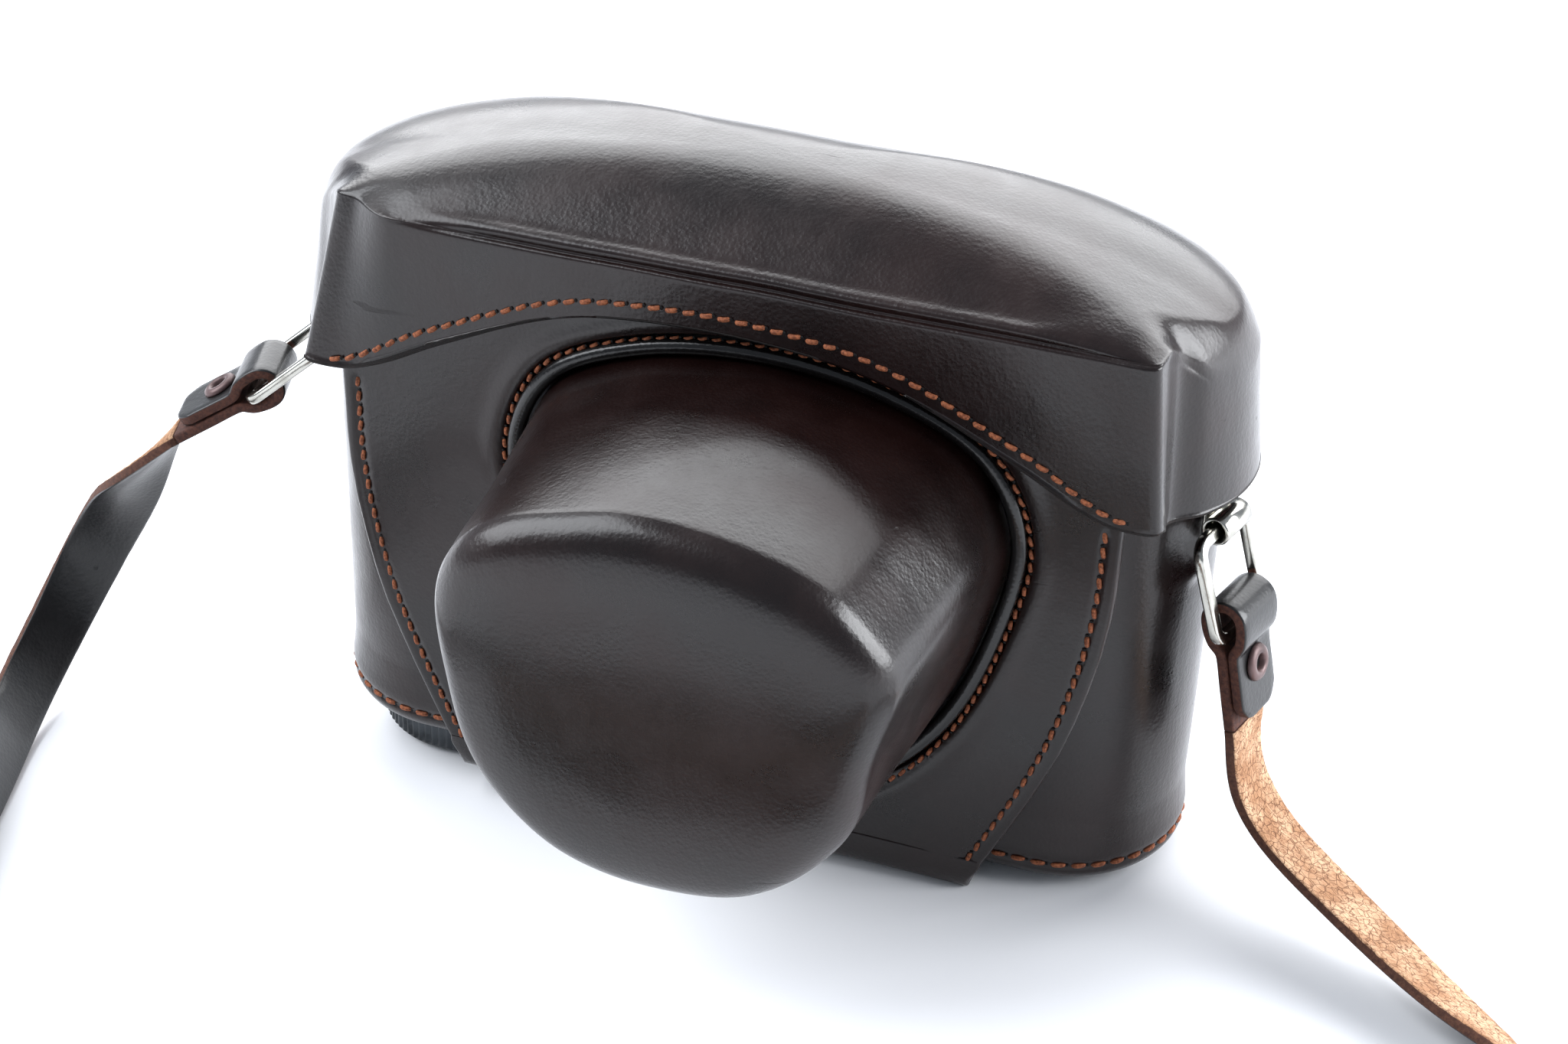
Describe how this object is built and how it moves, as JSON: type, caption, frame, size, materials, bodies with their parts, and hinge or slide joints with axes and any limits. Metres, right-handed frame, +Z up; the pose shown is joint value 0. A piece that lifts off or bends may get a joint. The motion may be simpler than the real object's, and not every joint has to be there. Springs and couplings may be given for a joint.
{
  "type": "leather ever ready camera case",
  "caption": "Moulded leather ever ready case for a rangefinder camera: lower half with tripod screw, hinged front with lens nose and domed cover, stitched seams, ring hangers and neck strap.",
  "frame": {"origin": "on the surface the case stands on, below the middle of the case's own box without its strap", "axes": "+Z up, -Y the front with the lens nose, +X the right-hand end seen from the front; the case leans about Y by 3.5 degrees, its left end raised on the tripod screw knob"},
  "size_m": [0.2765, 0.1834, 0.1161],
  "materials": {
    "case_leather": "smooth dark brown, polished, lightly scratched",
    "lining": "short red velvet pile",
    "thread": "waxed orange brown thread",
    "piping": "glossy black cord edging",
    "nickel": "polished nickel plate",
    "knob_metal": "dark anodised, knurled",
    "strap_leather": "black grain side, rough tan flesh side",
    "fold_leather": "smooth black, cut edges red brown",
    "eyelet": "worn brown lacquer",
    "brass": "turned brass"
  },
  "bodies": {
    "half_case": {"half_case_wall": "case_leather", "wall_lining": "lining", "base_sole": "case_leather", "base_pad": "lining", "base_seam_thread": "thread", "flap_tongue": "case_leather", "tongue_stud_left": "nickel", "tongue_stud_right": "nickel", "screw_bush": "brass", "tab_foot": "case_leather", "hanger_left": "nickel", "hanger_right": "nickel", "strap_left": "strap_leather", "strap_right": "strap_leather"},
    "front": {"front_flap": "case_leather", "nose_cup": "case_leather", "nose_lining": "lining", "nose_piping": "piping", "nose_seam_thread": "thread", "flap_thread_left": "thread", "flap_thread_right": "thread", "cover_shell": "case_leather", "cover_lining": "lining", "cover_seam_thread": "thread", "closure_stud_post": "nickel"},
    "closure": {"closure_tab": "case_leather", "closure_stud_cap": "nickel"},
    "tripod_screw": {"screw_knob": "knob_metal", "screw_shaft": "nickel"},
    "swivel_left": {"ring_left": "nickel", "strap_fold_left": "fold_leather", "eyelet_left": "eyelet"},
    "swivel_right": {"ring_right": "nickel", "strap_fold_right": "fold_leather", "eyelet_right": "eyelet"}
  },
  "joints": [
    {"name": "front_fold", "type": "hinge", "parent": "half_case", "child": "front", "pos_m": [-0.00373, -0.00205, 0.00638], "axis": [0.9982, 0, -0.0603], "range_deg": [0, 95]},
    {"name": "closure_lift", "type": "hinge", "parent": "half_case", "child": "closure", "pos_m": [-0.0001, 0.04435, 0.06647], "axis": [-0.9982, 0, 0.0603], "range_deg": [0, 95]},
    {"name": "screw_turn", "type": "hinge", "parent": "half_case", "child": "tripod_screw", "pos_m": [-0.0569, 0.02155, 0.00838], "axis": [0.0603, 0, 0.9982], "continuous": true},
    {"name": "ring_swing_left", "type": "hinge", "parent": "half_case", "child": "swivel_left", "pos_m": [-0.07508, 0.0152, 0.075], "axis": [-0.2751, 0.9613, 0.0166], "range_deg": [-25, 40], "deforming": ["strap_left"]},
    {"name": "ring_swing_right", "type": "hinge", "parent": "half_case", "child": "swivel_right", "pos_m": [0.07536, 0.0152, 0.06592], "axis": [-0.2751, -0.9613, 0.0166], "range_deg": [-8, 50], "deforming": ["strap_right"]}
  ]
}
